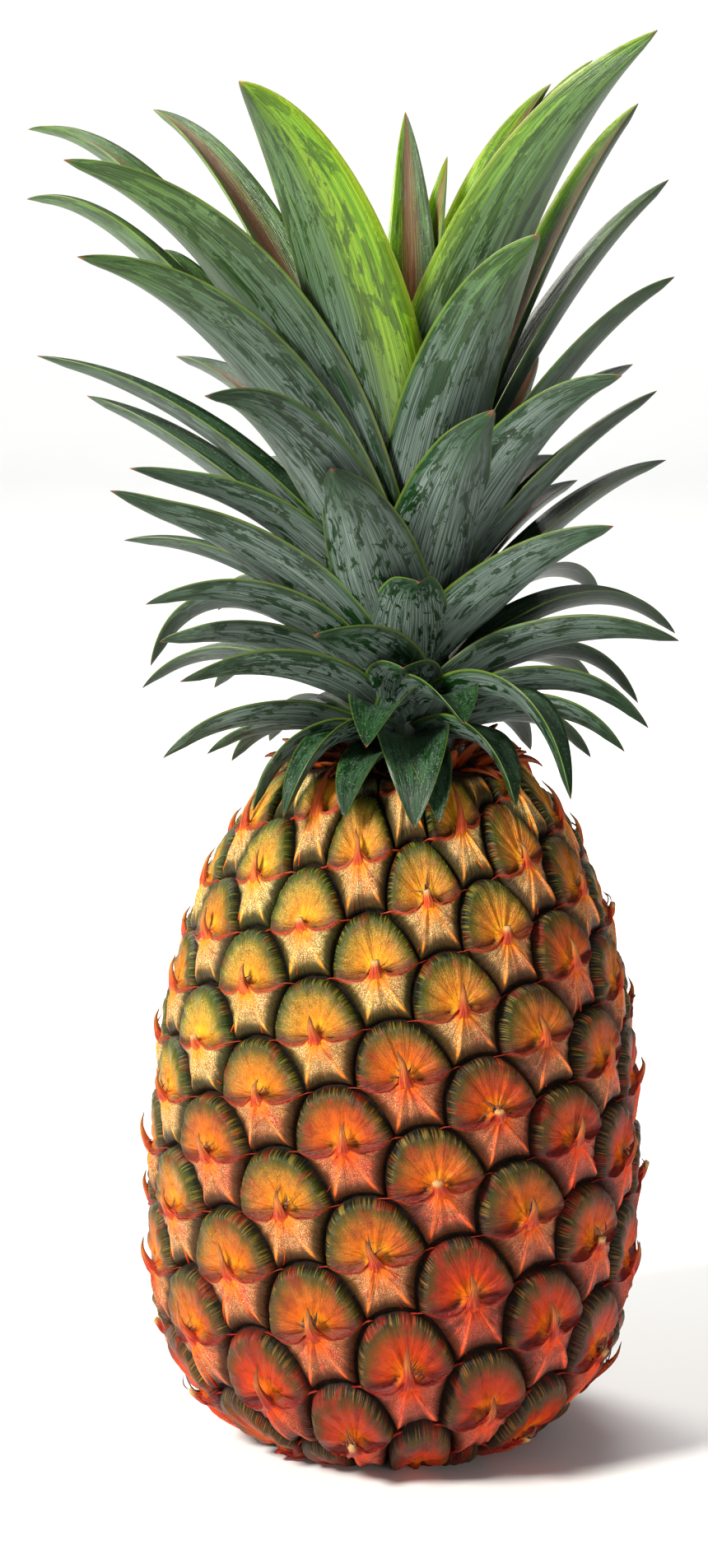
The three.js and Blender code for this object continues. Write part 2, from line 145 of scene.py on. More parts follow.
class NodeBuilder:
    def __init__(self, name):
        self.material = bpy.data.materials.new(name)
        self.material.use_nodes = True
        self.tree = self.material.node_tree
        self.shader = self.tree.nodes["Principled BSDF"]

    def put(self, value, socket):
        if isinstance(value, bpy.types.NodeSocket):
            self.tree.links.new(value, socket)
        else:
            socket.default_value = value

    def add(self, kind, inputs=(), **settings):
        node = self.tree.nodes.new("ShaderNode" + kind)
        for key, value in settings.items():
            setattr(node, key, value)
        for key, value in dict(inputs).items():
            self.put(value, node.inputs[key])
        return node

    def math(self, operation, a, b=0.0, c=0.0, clamp=False):
        node = self.add("Math", {0: a, 1: b, 2: c}, operation=operation, use_clamp=clamp)
        return node.outputs[0]

    def times(self, product, *factors):
        for factor in factors:
            product = self.math("MULTIPLY", product, factor)
        return product

    def fit(self, value, scale, shift):
        return self.math("MULTIPLY_ADD", value, scale, shift)

    def mix(self, share, a, b):
        # a and b are sockets or display colours
        node = self.add("Mix", data_type="RGBA")
        for socket, value in ((0, share), (6, a), (7, b)):
            self.put(tint(value) if isinstance(value, tuple) else value, node.inputs[socket])
        return node.outputs[2]

    def step(self, value, low, high, toLow=0.0, toHigh=1.0):
        node = self.add("MapRange", {"Value": value, "From Min": low, "From Max": high,
                                     "To Min": toLow, "To Max": toHigh},
                        interpolation_type="SMOOTHSTEP")
        return node.outputs["Result"]

    def ramp(self, value, stops):
        node = self.add("ValToRGB", {"Fac": value})
        line = node.color_ramp
        while len(line.elements) < len(stops):
            line.elements.new(0.5)
        for element, (place, color) in zip(line.elements, stops):
            element.position = place
            element.color = tint(color)
        return node.outputs["Color"]

    def vector(self, x, y, z=0.0):
        return self.add("CombineXYZ", {"X": x, "Y": y, "Z": z}).outputs[0]

    def parts(self, vector):
        return self.add("SeparateXYZ", {"Vector": vector}).outputs

    def noise(self, vector, scale, detail=3.0, roughness=0.5, distortion=0.0):
        node = self.add("TexNoise", {"Vector": vector, "Scale": scale, "Detail": detail,
                                     "Roughness": roughness, "Distortion": distortion})
        return node.outputs["Fac"]

    def attribute(self, name, output="Vector"):
        return self.add("Attribute", attribute_name=name).outputs[output]

    def place(self):
        return self.add("TexCoord").outputs["Object"]

    def bump(self, height, distance, strength=1.0, below=None):
        inputs = {"Height": height, "Distance": distance, "Strength": strength}
        if below is not None:
            inputs["Normal"] = below
        return self.add("Bump", inputs).outputs["Normal"]

    def finish(self, **inputs):
        for key, value in inputs.items():
            self.put(value, self.shader.inputs[key.replace("_", " ")])
        return self.material


# fruit: the outline, and the spiral that its eyes sit on

fruit = {
    "radius": 61.9, "widestAt": 66, "lowest": -2, "highest": 180.5,
    "lowerReach": 70, "upperReach": 124, "lowerPower": 3.2, "upperPower": 2.4,
    "lean": 0.02, "turn": 208.844, "firstTurn": 188,
    "baseArea": 733, "areaFall": 1.92, "shallow": 7, "steep": 12, "spare": 180,
    "typicalArea": 579, "shallowStep": (-23.8, 10.3), "steepStep": (15.1, 17.8),
    "groove": -2.2, "bulge": 1.12, "rimTilt": math.atan2(2.5, 12.97),
}


def levelOf(height):
    return np.clip(height, fruit["lowest"], fruit["highest"])


def outlineRadius(height):
    level = levelOf(height)
    above = level > fruit["widestAt"]
    reach = np.where(above, fruit["upperReach"], fruit["lowerReach"])
    power = np.where(above, fruit["upperPower"], fruit["lowerPower"])
    share = np.abs(level - fruit["widestAt"]) / reach
    return fruit["radius"] * np.sqrt(1 - share ** power)


def eyeArea(height):
    return fruit["baseArea"] - fruit["areaFall"] * levelOf(height)


def measureOutline():
    heights = np.arange(fruit["lowest"] - fruit["spare"], fruit["highest"] + fruit["spare"], 0.25)
    radii = outlineRadius(heights)
    steps = np.hypot(np.diff(heights), np.diff(radii))
    areas = np.pi * (radii[1:] + radii[:-1]) * steps / eyeArea(heights[1:])
    numbers = np.concatenate([[0], np.cumsum(areas)])
    numbers -= np.interp(fruit["lowest"], heights, numbers)
    slopes = np.arctan2(-np.gradient(radii), np.gradient(heights))
    return heights, radii, numbers, slopes


ringHeights, ringRadii, ringNumbers, ringSlopes = measureOutline()
eyeCount = float(np.interp(fruit["highest"], ringHeights, ringNumbers))


def wrap(angle):
    return math.atan2(math.sin(angle), math.cos(angle))


def lean(points):
    points = np.asarray(points, float)
    points[..., 0] += fruit["lean"] * points[..., 2]
    return points


def skinPoints(eye, across, along, out):
    # points of an eye's cell: across and along are shares of the two spiral steps
    shallowTurn = wrap(math.radians(fruit["shallow"] * fruit["turn"]))
    steepTurn = wrap(math.radians(fruit["steep"] * fruit["turn"]))
    number = eye + fruit["shallow"] * across + fruit["steep"] * along
    azimuth = np.radians(fruit["firstTurn"] - eye * fruit["turn"])
    azimuth = azimuth - across * shallowTurn - along * steepTurn
    height = np.interp(number, ringNumbers, ringHeights)
    radius = np.interp(number, ringNumbers, ringRadii)
    slope = np.interp(number, ringNumbers, ringSlopes)
    out = out * np.sqrt(eyeArea(height) / fruit["typicalArea"])
    r = radius + out * np.cos(slope)
    z = height + out * np.sin(slope)
    return lean(np.stack([r * np.cos(azimuth), r * np.sin(azimuth), z], -1))


def toShares(right, up):
    a, b = fruit["shallowStep"], fruit["steepStep"]
    area = a[0] * b[1] - a[1] * b[0]
    return (right * b[1] - up * b[0]) / area, (up * a[0] - right * a[1]) / area


def toFlat(across, along):
    a, b = fruit["shallowStep"], fruit["steepStep"]
    return across * a[0] + along * b[0], across * a[1] + along * b[1]


def fromBeak(eye, u, v, out):
    # u runs along the rim and v up from it, in mm of a typical eye
    c, s = math.cos(fruit["rimTilt"]), math.sin(fruit["rimTilt"])
    return skinPoints(eye, *toShares(u * c - v * s, u * s + v * c), out)


print("fruit outline measured,", round(eyeCount), "eyes")


# fruit skin: one cell for each eye, with its points on spokes from the beak

skin = {
    "perSide": 10, "rings": [0.06, 0.14, 0.24, 0.35, 0.47, 0.59, 0.7, 0.8, 0.875, 0.93, 0.968],
    "sag": 1.9, "ribs": (-1.9, -1.08), "ribLift": 0.45, "ribAngle": 0.15, "beakLift": 3.2,
    "spareEyes": 12, "capSize": (0.88, 1.12), "waver": 0.35,
    # height of the cap, the bract and the rim between them, against the share of the way out
    "cap": ([0, 0.1, 0.22, 0.4, 0.58, 0.72, 0.82, 0.89, 0.945, 1],
            [2.4, 1.6, 1.3, 1.8, 2.4, 2.7, 2.6, 2.1, 0.5, -2.4]),
    "bract": ([0, 0.12, 0.3, 0.5, 0.7, 0.82, 0.9, 0.955, 1], [3.0, 2.9, 2.5, 2.0, 1.5, 1.1, 0.6, -0.3, -2.4]),
    "rim": ([0, 0.3, 0.6, 0.85, 0.94, 1], [3.0, 2.8, 2.5, 2.0, 0.8, -2.4]),
    # folds round the beak: how many and how high, and how much of them the cap and the bract take
    "folds": ((7, 0.5), (11, 0.6), (17, 0.7), (23, 0.5)), "capFolds": 0.3, "bractFolds": 0.35,
    "hollow": 1.2, "hollowAt": 1.4, "hollowWide": 1.2,
    # where both ends close on the stalk and the crown: height, radius, and how far the seat goes in
    "seats": ((0.0, 12.82, 13.3), (fruit["highest"], 13.52, -4.8)), "seatSides": 72,
}


def rimDrop(u):
    # the rim sags on both sides of the beak and rises again to the corners of the cell
    return -skin["sag"] * smooth(0.8, 4.5, np.abs(u)) * smooth(13.5, 6.5, np.abs(u))


def cellBorder():
    # shares of the two steps, from the right corner round by the cap
    third, high = 1 / 3, fruit["bulge"] / 2
    low = high - 1
    corners = [(-third, third), (third, 2 * third), (2 * third, third),
               (third, -third), (-third, -2 * third), (-2 * third, -third)]
    middles = [(0, high), (high, high), (high, 0), (0, low), (low, low), (low, 0)]
    line = []
    for i in range(6):
        a, b = np.array(corners[i]), np.array(corners[(i + 1) % 6])
        bend = 2 * np.array(middles[i]) - (a + b) / 2
        for k in range(skin["perSide"]):
            t = k / skin["perSide"]
            line.append((1 - t) ** 2 * a + 2 * t * (1 - t) * bend + t * t * b)
    return np.array(line)


def reliefOf(u, v, share, traits):
    # the height of the skin over the outline, in mm of a typical eye
    theta = np.arctan2(v, u)
    lift = v - rimDrop(u)
    cap, bract, rim = (np.interp(share, *skin[key]) for key in ("cap", "bract", "rim"))
    fan = sum(a * np.sin(k * theta + p) for k, a, p in traits["fan"])
    folds = smooth(0.08, 0.3, share) * smooth(1, 0.75, share)
    wide = smooth(0.8, 2.5, np.abs(u)) * smooth(12.5, 9, np.abs(u))
    hollow = skin["hollow"] * np.exp(-((lift - skin["hollowAt"]) / skin["hollowWide"]) ** 2) * wide
    cap = cap * traits["capSize"] + fan * folds * skin["capFolds"] - hollow
    ribs = sum(np.exp(-((theta - angle) / skin["ribAngle"]) ** 2) for angle in skin["ribs"])
    bract = bract + fan * folds * skin["bractFolds"] + skin["ribLift"] * ribs * folds
    behind = smooth(0.0, 1.1, lift)
    below = smooth(-0.1, -1.5, lift)
    return np.where(lift > 0, rim + (cap - rim) * behind, rim + (bract - rim) * below)


def buildSkin():
    # neighbouring cells share points: each eye owns two corners and three edges of its cell
    border = cellBorder()
    side, spokes = skin["perSide"], len(border)
    rings = np.array(skin["rings"][::-1])
    shallow, steep = fruit["shallow"], fruit["steep"]
    both = shallow + steep
    first, last = -skin["spareEyes"], int(eyeCount) + skin["spareEyes"]
    perEye = 2 + 3 * (side - 1)

    def corner(eye, which):
        return (eye - first + both) * perEye + which

    def edge(eye, which):
        return corner(eye, 2) + which * (side - 1) + np.arange(side - 1)

    def frameOf(share, at):
        return spread(at.shape, uBorder[at] * share, vBorder[at] * share, share)

    sharedCount = corner(last + 1, 0)
    points = np.zeros((sharedCount, 3))
    known = np.zeros(sharedCount, bool)
    blocks, faces, corners, seeds = [points], [], [], []
    rightOf, upOf = toFlat(border[:, 0], border[:, 1])
    c, s = math.cos(fruit["rimTilt"]), math.sin(fruit["rimTilt"])
    uBorder, vBorder = rightOf * c + upOf * s, upOf * c - rightOf * s
    k = np.arange(spokes)
    kNext = (k + 1) % spokes
    count = sharedCount
    for eye in range(first, last + 1):
        traits = {
            "fan": [(n, a, rng.uniform(0, 6.3)) for n, a in skin["folds"]],
            "capSize": draw(skin["capSize"]),
        }
        seed = rng.uniform()
        ids = np.concatenate([
            [corner(eye - shallow, 0)], edge(eye, 0), [corner(eye, 1)], edge(eye, 1),
            [corner(eye, 0)], edge(eye, 2), [corner(eye - steep, 1)], edge(eye - steep, 0)[::-1],
            [corner(eye - both, 0)], edge(eye - both, 1)[::-1],
            [corner(eye - both, 1)], edge(eye - shallow, 2)[::-1],
        ])
        groove = fruit["groove"] + skin["waver"] * np.sin(ids * 1.7)
        missing = ~known[ids]
        found = skinPoints(eye, border[:, 0], border[:, 1], groove)
        points[ids[missing]] = found[missing]
        known[ids] = True
        share = np.repeat(rings, spokes)
        u, v = np.tile(uBorder, len(rings)) * share, np.tile(vBorder, len(rings)) * share
        a, b = np.tile(border[:, 0], len(rings)) * share, np.tile(border[:, 1], len(rings)) * share
        blocks.append(skinPoints(eye, a, b, reliefOf(u, v, share, traits)))
        blocks.append(skinPoints(eye, 0.0, 0.0, skin["beakLift"])[None])
        rows = [ids] + [count + i * spokes + k for i in range(len(rings))]
        shares = [1.0] + list(rings)
        for i in range(len(rings)):
            faces.append(np.stack([rows[i][k], rows[i][kNext], rows[i + 1][kNext], rows[i + 1][k]], -1))
            corners.append(np.stack([frameOf(shares[i], k), frameOf(shares[i], kNext),
                                     frameOf(shares[i + 1], kNext), frameOf(shares[i + 1], k)],
                                    1).reshape(-1, 3))
            seeds.append(np.full(4 * spokes, seed))
        middle = count + len(rings) * spokes
        inner = rows[-1]
        faces.append(np.stack([inner[k], inner[kNext], np.full(spokes, middle)], -1))
        corners.append(np.stack([frameOf(shares[-1], k), frameOf(shares[-1], kNext),
                                 np.zeros((spokes, 3))], 1).reshape(-1, 3))
        seeds.append(np.full(3 * spokes, seed))
        count = middle + 1
    allFaces = [list(f) for block in faces for f in block]
    return np.concatenate(blocks), allFaces, np.concatenate(corners), np.concatenate(seeds)


def trimSkin(piece):
    # cut level at the base and under the crown, and close both ends down to the stalk and the seat
    mesh = bmesh.new()
    mesh.from_mesh(piece.data)
    loose = [v for v in mesh.verts if not v.link_faces]
    bmesh.ops.delete(mesh, geom=loose, context="VERTS")
    for height, normal in ((0.0, (0, 0, -1)), (fruit["highest"] * mm, (0, 0, 1))):
        everything = mesh.verts[:] + mesh.edges[:] + mesh.faces[:]
        bmesh.ops.bisect_plane(mesh, geom=everything, plane_co=(0, 0, height), plane_no=normal,
                               clear_outer=True)
    for height, radius, depth in skin["seats"]:
        middle = Vector((fruit["lean"] * height * mm, 0, height * mm))
        loop = [e for e in mesh.edges if e.is_boundary and abs(e.verts[0].co.z - height * mm) < 1e-5]
        ring = bmesh.ops.create_circle(mesh, segments=skin["seatSides"], radius=radius * mm)["verts"]
        for vert in ring:
            vert.co += middle
        inner = list({e for vert in ring for e in vert.link_edges})
        bmesh.ops.bridge_loops(mesh, edges=loop + inner)
        walls = bmesh.ops.extrude_edge_only(mesh, edges=inner)["geom"]
        floor = [g for g in walls if isinstance(g, bmesh.types.BMVert)]
        for vert in floor:
            vert.co.z += depth * mm
        bmesh.ops.contextual_create(mesh, geom=[g for g in walls if isinstance(g, bmesh.types.BMEdge)
                                                and all(v in floor for v in g.verts)])
    bmesh.ops.recalc_face_normals(mesh, faces=mesh.faces)
    mesh.to_mesh(piece.data)
    mesh.free()


def ripenessOf(b, place, seed):
    # from yellow-green, high on the left, to red, low on the right
    x, _, z = b.parts(place)
    ripe = b.fit(x, 4.2, 1.18)
    ripe = b.fit(z, -5.6, ripe)
    ripe = b.math("ADD", ripe, b.fit(b.noise(place, 38, 3, 0.6), 0.7, -0.35))
    return b.math("ADD", ripe, b.fit(seed, 0.34, -0.17), clamp=True)


def skinMaterial():
    b = NodeBuilder("fruit_skin")
    u, v, share = b.parts(b.attribute("eye"))
    lift = b.attribute("rimSide", "Fac")
    seed = b.attribute("eyeSeed", "Fac")
    place = b.place()
    theta = b.math("ARCTAN2", v, u)
    wide = b.math("ABSOLUTE", u)
    apart = b.times(seed, 57)
    meal = b.noise(place, 4200, 2, 0.5)
    grain = b.noise(place, 420, 4, 0.6)
    ripe = ripenessOf(b, place, seed)

    # folds that fan out from the beak, and finer ones that notch the edge of the cap
    fan = b.noise(b.vector(b.times(theta, 6), b.times(share, 1.2), apart), 1.5, 4, 0.6)
    notch = b.noise(b.vector(b.times(theta, 26), b.times(share, 1.2), apart), 1.5, 2)
    away = b.math("ADD", share, b.fit(fan, 0.2, -0.1))
    upperLeft = b.math("COSINE", b.math("SUBTRACT", theta, 2.2))
    capAway = b.math("ADD", away, b.times(b.math("MAXIMUM", upperLeft, 0.0), 0.07))

    # the cap's colour from the beak out; its near-black end, where the cap dips into the groove, is painted
    # shade
    capWarm = b.ramp(capAway, [
        (0.0, (120, 22, 2)), (0.1, (210, 70, 0)), (0.24, (248, 122, 0)),
        (0.42, (210, 62, 0)), (0.62, (172, 42, 0)), (0.78, (104, 46, 0)),
        (0.91, (52, 44, 6)), (0.98, (18, 16, 4))])
    capGreen = b.ramp(capAway, [
        (0.0, (130, 52, 4)), (0.1, (214, 112, 4)), (0.24, (252, 194, 40)),
        (0.42, (200, 136, 10)), (0.62, (138, 114, 8)), (0.78, (80, 86, 8)),
        (0.91, (34, 58, 8)), (0.98, (8, 17, 3))])
    cap = b.mix(ripe, capGreen, capWarm)
    edge = b.times(b.step(share, 0.8, 0.87), b.step(share, 0.975, 0.93))
    lit = b.times(edge, b.step(notch, 0.5, 0.64))
    cap = b.mix(b.times(lit, 0.6), cap, b.mix(ripe, (136, 140, 44), (150, 96, 34)))
    patch = b.noise(b.vector(b.times(theta, 1.6), b.times(share, 1.6), apart), 1.6, 2)
    redPatch = b.times(b.step(patch, 0.54, 0.64), b.step(share, 0.4, 0.62), b.fit(ripe, 0.5, 0.12))
    cap = b.mix(redPatch, cap, (140, 22, 4))
    # painted shade: the low parts of the fan folds are painted darker
    cap = b.mix(b.times(b.step(fan, 0.45, 0.3), 0.32), cap, (92, 26, 8))
    shade = b.times(b.step(lift, 4.2, 0.8), b.times(b.step(wide, 1.2, 3.4), b.step(wide, 13, 9.5)))

    field = b.mix(ripe, (146, 122, 30), (158, 38, 14))
    hot = b.mix(ripe, (250, 160, 2), (244, 72, 0))
    web = b.step(away, 0.6, 0.14)
    ribs = [b.step(b.math("ABSOLUTE", b.math("SUBTRACT", theta, angle)), 0.06, 0.01)
            for angle in skin["ribs"]]
    ribGlow = b.times(b.math("MAXIMUM", *ribs), b.step(away, 0.98, 0.7))
    bract = b.mix(b.math("MAXIMUM", web, b.times(ribGlow, 0.95)), field, hot)
    flare = b.times(b.step(patch, 0.56, 0.62), b.times(ripe, 0.75))
    bract = b.mix(b.times(flare, b.step(share, 0.85, 0.6)), bract, (190, 30, 6))
    foot = b.step(b.math("SUBTRACT", away, b.times(ribGlow, 0.14)), 0.6, 0.84)
    bract = b.mix(b.times(foot, 0.92), bract, b.mix(ripe, (20, 46, 12), (76, 34, 14)))

    above = b.step(lift, 0.0, 0.5)
    mealPlace = b.times(b.step(away, 0.82, 0.6), b.step(away, 0.1, 0.5))
    mealLevel = b.fit(above, -0.42, b.fit(ripe, -0.4, 0.86))
    mealShare = b.times(b.step(meal, 0.49, 0.6), mealPlace, mealLevel)
    color = b.mix(above, bract, cap)
    mealTone = b.mix(above, b.mix(ripe, (250, 240, 180), (216, 156, 124)),
                     b.mix(ripe, (246, 222, 120), (222, 122, 44)))
    color = b.mix(mealShare, color, mealTone)
    color = b.mix(b.times(shade, above, 0.8), color, (84, 26, 28))
    rimLine = b.times(b.step(lift, -0.7, -0.15), b.step(lift, 0.6, 0.2), b.step(share, 0.99, 0.9))
    color = b.mix(b.times(rimLine, 0.8), color, b.mix(ripe, (150, 52, 14), (128, 12, 6)))
    stain = b.times(b.step(b.noise(place, 75, 3, 0.6), 0.57, 0.7), b.times(ripe, 0.6))
    color = b.mix(stain, color, (58, 18, 24))
    # the groove between eyes: its own dark green, painted darker still, near black, as shade in the crease
    groove = b.step(b.math("ADD", share, b.fit(fan, 0.05, -0.025)), 0.91, 0.985)
    color = b.mix(groove, color, b.mix(ripe, (9, 14, 4), (30, 15, 8)))
    color = b.mix(b.times(b.step(grain, 0.52, 0.36), 0.25), color, (64, 26, 12))
    # painted shade: the flat top under the crown is painted dark brown
    color = b.mix(b.step(b.parts(place)[2], 0.178, 0.1802), color, (30, 16, 8))

    rough = b.fit(meal, 0.3, b.fit(groove, 0.4, 0.28))
    normal = b.bump(fan, 0.0012, 0.8)
    normal = b.bump(notch, 0.0008, b.times(edge, 0.9), normal)
    normal = b.bump(grain, 0.0005, 0.6, normal)
    normal = b.bump(meal, 0.00016, 0.6, normal)
    return b.finish(Base_Color=color, Roughness=rough, Normal=normal, Specular_IOR_Level=0.22)


skinPointsAll, skinFaces, skinFrames, skinSeeds = buildSkin()
fruitSkin = addMesh("fruit_skin", skinPointsAll, skinFaces, "fruit_body", skinMaterial())
addAttribute(fruitSkin.data, "eye", skinFrames, "CORNER")
addAttribute(fruitSkin.data, "rimSide", skinFrames[:, 1] - rimDrop(skinFrames[:, 0]), "CORNER")
addAttribute(fruitSkin.data, "eyeSeed", skinSeeds, "CORNER")
trimSkin(fruitSkin)
shadeSmooth(fruitSkin.data)
tellTriangles(fruitSkin)


# eye rims: the thin papery edge of each bract, and the ribs that run down from its beak

rims = {
    "reach": 15.2, "steps": 34, "height": 0.5, "width": 0.4, "sink": 0.9, "leanUp": 0.75, "ragged": 0.5,
    "out": ([0, 4, 9, 12.3, 15.2], [2.9, 2.6, 2.1, 1.0, 0.2]),
    "ribFrom": 1.6, "ribTo": 13.8, "ribSteps": 12, "ribHeight": 0.24, "ribWidth": 0.46, "ribSink": 0.5,
    "ribOut": ([0, 4, 8, 11, 14.2], [2.8, 2.4, 1.8, 1.3, 0.9]), "ribBend": (-0.12, 0.12),
    "ribWide": ([0, 0.5, 0.85, 1], [1.4, 0.8, 0.7, 0.06]),
    "ribTall": ([0, 0.3, 0.85, 1], [0.4, 1.0, 1.3, 0.5]),
}


def eyesOnShow(lowest, highest):
    for eye in range(-6, int(eyeCount) + 6):
        height = float(np.interp(eye, ringNumbers, ringHeights))
        if lowest < height < highest:
            yield eye, height


def onShow(rows, frames):
    # the part of a path that stays over the base and under the level top
    keep = (rows[..., 2].min(1) > clearOfBase) & (rows[..., 2].max(1) < fruit["highest"] + 1)
    return rows[keep], frames[keep]


def ridge(eye, u, v, out, width, height, leanUp, sink):
    # rows of three points: both feet of a ridge and its crest
    du, dv = np.gradient(u), np.gradient(v)
    size = np.hypot(du, dv)
    nu, nv = -dv / size * width / 2, du / size * width / 2
    left = fromBeak(eye, u + nu, v + nv, out - sink)
    right = fromBeak(eye, u - nu, v - nv, out - sink)
    crest = fromBeak(eye, u, v + leanUp * height, out + height)
    return np.stack([left, crest, right], 1)


def stripFrames(steps, kind):
    # along the strip, foot or crest, and what it is: 0 for a rim, 1 for a rib
    return spread((steps, 3), np.linspace(0, 1, steps)[:, None], (0, 1, 0), kind)


def buildRims():
    tubes = TubeSet()
    for eye, height in eyesOnShow(1.5, 178):
        seed = rng.uniform()
        u = np.linspace(-rims["reach"], rims["reach"], rims["steps"])
        a = np.abs(u)
        ragged = 1 + rims["ragged"] * (rng.uniform(size=len(u)) - 0.5)
        tall = rims["height"] * ragged * (0.1 + 0.9 * smooth(rims["reach"], 9, a))
        tall = tall * (1 + 0.7 * smooth(3, 0.6, a))
        v = rimDrop(u) + 0.14 * np.sin(u * 1.1 + seed * 9) + 0.16 * (rng.uniform(size=len(u)) - 0.5)
        out = np.interp(a, *rims["out"])
        rows = ridge(eye, u, v, out, rims["width"], tall, rims["leanUp"], rims["sink"])
        tubes.addShown(rows, stripFrames(len(u), 0), (seed, 0, 0))
        for angle in skin["ribs"]:
            bent = angle + draw(rims["ribBend"])
            r = np.linspace(rims["ribFrom"], rims["ribTo"] * rng.uniform(0.86, 1.0), rims["ribSteps"])
            curve = bent + 0.1 * np.sin(r * 0.3 + seed * 5)
            t = np.linspace(0, 1, len(r))
            out = np.interp(r, *rims["ribOut"])
            fine = rims["ribWidth"] * np.interp(t, *rims["ribWide"])
            crest = rims["ribHeight"] * np.interp(t, *rims["ribTall"])
            rows = ridge(eye, r * np.cos(curve), r * np.sin(curve), out, fine, crest, 0, rims["ribSink"])
            tubes.addShown(rows, stripFrames(len(r), 1), (seed, 0, 0))
    return tubes


def rimMaterial():
    b = NodeBuilder("eye_rims")
    along, top, kind = b.parts(b.attribute("along"))
    seed = b.parts(b.attribute("traits"))[0]
    place = b.place()
    ripe = ripenessOf(b, place, seed)
    grain = b.noise(place, 900, 4, 0.65)
    papery = b.mix(ripe, (170, 56, 8), (140, 14, 4))
    rim = b.mix(top, b.mix(ripe, (112, 36, 10), (92, 8, 6)), papery)
    # painted highlight: bright orange flecks along the rim
    rim = b.mix(b.times(b.step(grain, 0.52, 0.62), 0.4), rim, (204, 74, 16))
    rib = b.mix(ripe, (232, 156, 14), (224, 88, 2))
    rib = b.mix(b.step(along, 0.6, 0.92), rib, b.mix(ripe, (196, 66, 20), (180, 28, 10)))
    color = b.mix(kind, rim, rib)
    color = b.mix(b.times(b.step(grain, 0.5, 0.34), 0.4), color, (84, 28, 16))
    return b.finish(Base_Color=color, Roughness=b.fit(grain, 0.3, 0.38),
                    Normal=b.bump(grain, 0.0003, 0.6), Specular_IOR_Level=0.22)


buildRims().build("eye_rims", "fruit_skin", None, rimMaterial())


# beaks: the dry point of each bract. Under the crown they are longer and broader

beaks = {
    "levels": 11, "sides": 12, "length": (5.0, 9.0), "width": 4.8, "long": 9.5, "broad": 6.2,
    "longFrom": 158, "longTo": 174, "longSpread": (0.7, 1.1), "stubs": 0.2, "stubEnd": 0.46,
    "sway": (-1.6, 2.2), "rise": (4.1, 5.3), "topRise": 1.5, "root": 2.1, "foot": 1.5, "deep": 1.3,
    "at": [0, 0.16, 0.34, 0.6, 0.85, 1],
    "across": [1.05, 0.82, 0.5, 0.36, 0.2, 0.02], "depth": [0.8, 0.9, 0.6, 0.36, 0.2, 0.03],
    # within so many degrees of this azimuth, in front, the long beaks are kept short
    "frontAt": -87, "frontWithin": 22, "frontFrom": 0.2, "frontLength": 0.3,
}


def buildBeaks():
    tubes = TubeSet()
    ring = np.linspace(0, 2 * np.pi, beaks["sides"], endpoint=False)
    for eye, height in eyesOnShow(1.5, 181):
        seed = rng.uniform()
        top = float(smooth(beaks["longFrom"], beaks["longTo"], height))
        length = (1 - top) * draw(beaks["length"])
        length += top * beaks["long"] * draw(beaks["longSpread"])
        width = (1 - top) * beaks["width"] + top * beaks["broad"]
        x, y, _ = fromBeak(eye, 0.0, 0.0, 0.0)
        fromFront = abs(math.degrees(math.atan2(y, x)) - beaks["frontAt"])
        if top > beaks["frontFrom"] and fromFront < beaks["frontWithin"]:
            length *= beaks["frontLength"]
        stub = rng.uniform() < beaks["stubs"] * (1 - top)
        t = np.linspace(0, beaks["stubEnd"] if stub else 1, beaks["levels"])
        sway = draw(beaks["sway"])
        rise = draw(beaks["rise"]) + beaks["topRise"] * top
        u = sway * t ** 2 + 0.15 * np.sin(t * 9 + seed * 6)
        v = -beaks["root"] + (length + beaks["root"]) * t
        arch = np.sin(np.minimum(1, t * 1.35) * np.pi / 2)
        out = beaks["foot"] + (rise - beaks["foot"]) * arch - 0.5 * smooth(0.7, 1, t)
        across = width / 2 * np.interp(t, beaks["at"], beaks["across"])
        deep = beaks["deep"] * np.interp(t, beaks["at"], beaks["depth"])
        folds = 1 + 0.2 * np.cos(5 * ring + seed * 20)
        uu = u[:, None] + across[:, None] * np.cos(ring) * folds
        oo = out[:, None] + deep[:, None] * np.sin(ring) * folds
        vv = v[:, None] - 0.5 * deep[:, None] * np.sin(ring)
        rows = fromBeak(eye, uu, vv, oo)
        if rows[..., 2].min() >= clearOfBase:
            tubes.add(rows, spread(uu.shape, t[:, None], ring, 0.0), (seed, top, float(stub)))
    return tubes


def beakMaterial():
    b = NodeBuilder("beaks")
    t, turn, _ = b.parts(b.attribute("along"))
    seed, top, stub = b.parts(b.attribute("traits"))
    place = b.place()
    ripe = ripenessOf(b, place, seed)
    fold = b.noise(b.vector(b.times(turn, 3), b.times(t, 2), b.times(seed, 40)), 1.4, 4, 0.6)
    fresh = b.ramp(t, [(0.0, (206, 62, 8)), (0.2, (168, 26, 10)), (0.42, (170, 50, 18)),
                       (0.66, (178, 92, 36)), (1.0, (88, 48, 22))])
    pale = b.ramp(t, [(0.0, (222, 112, 18)), (0.2, (190, 62, 16)), (0.42, (190, 98, 34)),
                      (0.66, (190, 130, 60)), (1.0, (104, 68, 32))])
    color = b.mix(ripe, pale, fresh)
    # painted shade in the creases of the folds, and painted highlight on their ridges
    color = b.mix(b.times(b.step(fold, 0.5, 0.36), 0.6), color, (92, 30, 20))
    color = b.mix(b.times(b.step(fold, 0.52, 0.66), 0.45), color, (226, 136, 66))
    color = b.mix(b.times(stub, b.step(t, 0.3, 0.44)), color, (206, 156, 96))
    # the long beaks under the crown and the collar: their own dark red-brown, painted darker still as shade
    # under the crown
    color = b.mix(b.times(top, b.times(b.step(t, 0.1, 0.6), 0.7)), color, (128, 30, 12))
    return b.finish(Base_Color=color, Roughness=0.55, Normal=b.bump(fold, 0.0005, 0.8),
                    Specular_IOR_Level=0.25)


beakMat = beakMaterial()
buildBeaks().build("beaks", "fruit_skin", None, beakMat)


# collar: small dried bracts between the fruit and the lowest leaves

